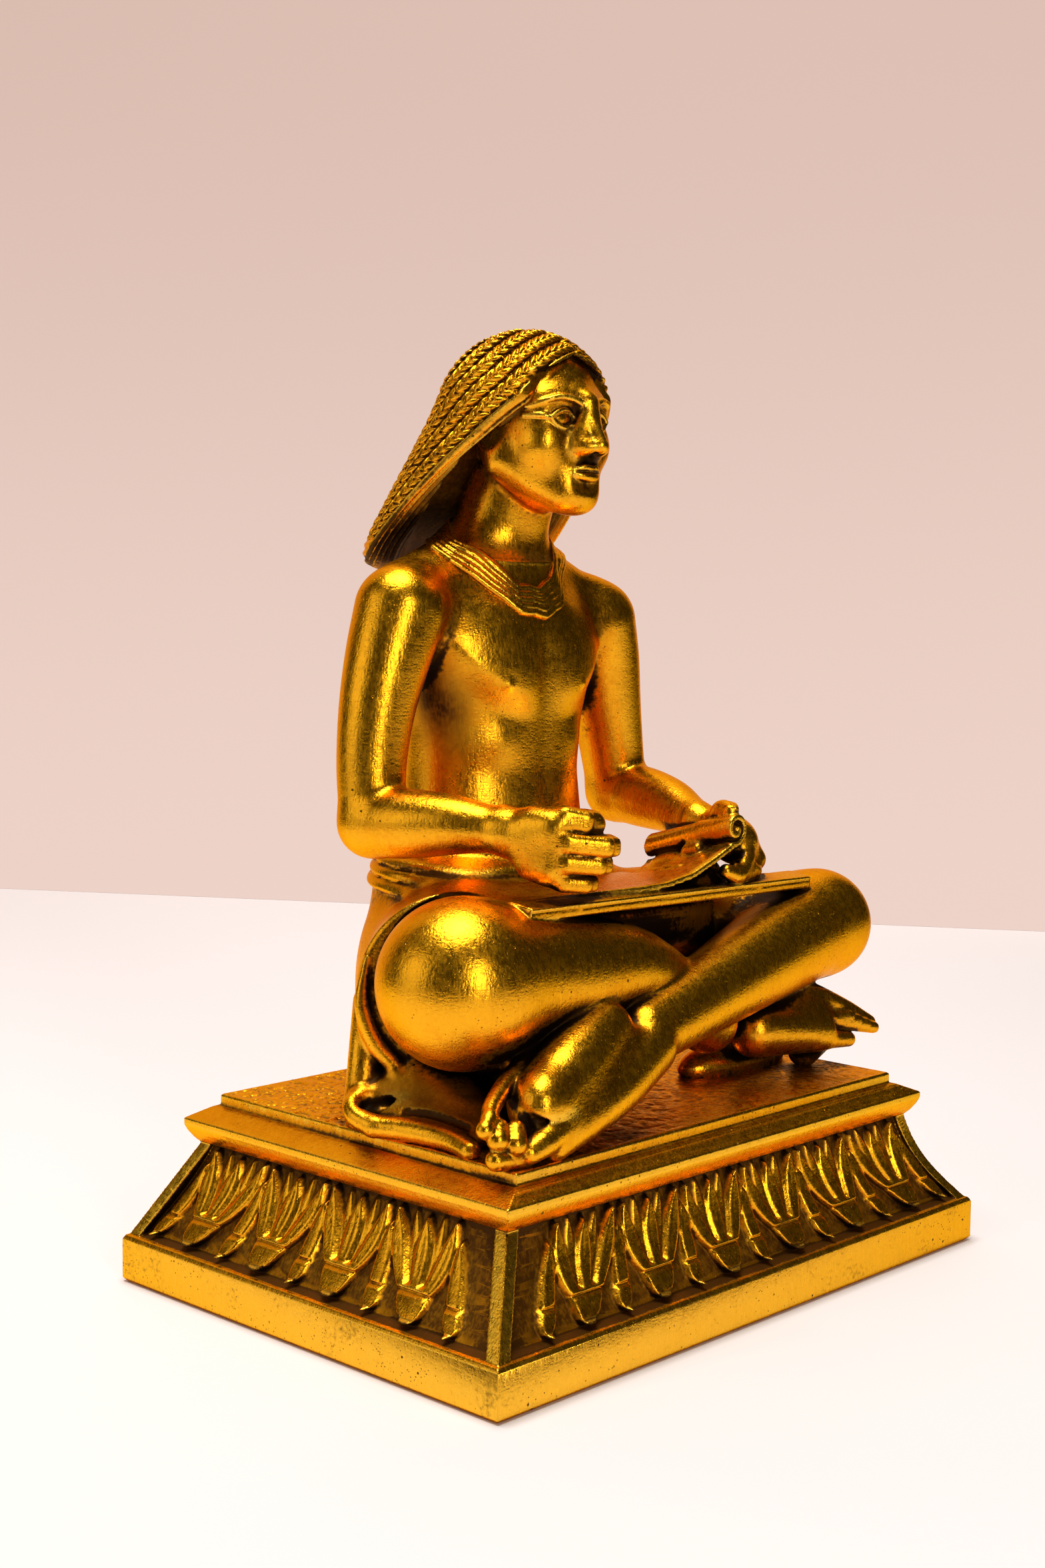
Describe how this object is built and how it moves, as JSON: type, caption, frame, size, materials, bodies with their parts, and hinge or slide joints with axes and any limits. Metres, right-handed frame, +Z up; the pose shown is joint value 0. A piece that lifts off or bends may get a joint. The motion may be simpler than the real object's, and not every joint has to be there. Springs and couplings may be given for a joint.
{
  "type": "seated scribe statue",
  "caption": "Gilt cast statuette of a cross-legged scribe writing on the lap, on a moulded plinth carved with lotus flowers; stands on a desk or shelf.",
  "frame": {"origin": "centre of the plinth's underside", "axes": "+Z up, -Y to the side the scribe faces, +X to the scribe's left"},
  "size_m": [0.105, 0.075, 0.1375],
  "materials": {
    "antique_gilt": "satin antique gilt, brown in the recesses, with fine scratches and casting pits"
  },
  "bodies": {
    "root": {"seated_scribe": "antique_gilt"}
  },
  "joints": []
}
